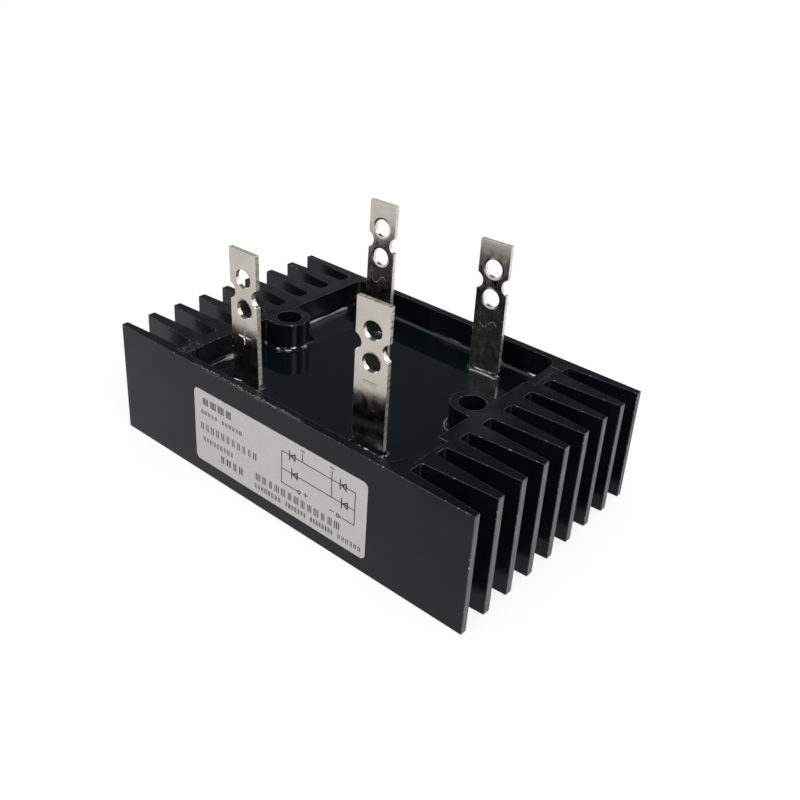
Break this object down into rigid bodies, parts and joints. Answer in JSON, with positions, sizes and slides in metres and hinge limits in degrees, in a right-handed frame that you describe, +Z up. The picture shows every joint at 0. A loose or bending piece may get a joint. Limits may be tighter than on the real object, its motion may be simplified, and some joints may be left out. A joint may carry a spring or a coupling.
{
  "type": "bridge rectifier",
  "caption": "Potted single-phase bridge rectifier: black finned aluminium housing, resin-filled well, upright drilled terminal strips and through-holes for mounting.",
  "frame": {"origin": "centre of the housing's flat underside", "axes": "+X along the length of the housing, from the plus terminal's end to the minus terminal's end; +Y to the rear, away from the label; +Z up, out of the open well"},
  "size_m": [0.1186, 0.0722, 0.0653],
  "materials": {
    "black_anodised": "black anodised extrusion, satin to semi-gloss",
    "ceramic": "white alumina, matt",
    "copper": "bare copper",
    "silicon": "soldered silicon die",
    "plated_strip": "nickel-plated copper strip, bright rolled",
    "black_resin": "cast black epoxy, glossy",
    "label_paper": "printed film label, satin"
  },
  "bodies": {
    "root": {"housing": "black_anodised", "front_ceramic_tile": "ceramic", "rear_ceramic_tile": "ceramic", "plus_plate": "copper", "minus_plate": "copper", "ac_left_plate": "copper", "ac_right_plate": "copper", "die_plus_left": "silicon", "die_plus_right": "silicon", "die_minus_left": "silicon", "die_minus_right": "silicon", "jumper_plus_left": "copper", "jumper_plus_right": "copper", "jumper_minus_left": "copper", "jumper_minus_right": "copper", "terminal_plus": "plated_strip", "terminal_minus": "plated_strip", "terminal_ac_left": "plated_strip", "terminal_ac_right": "plated_strip", "potting_resin": "black_resin", "label": "label_paper"}
  },
  "joints": []
}
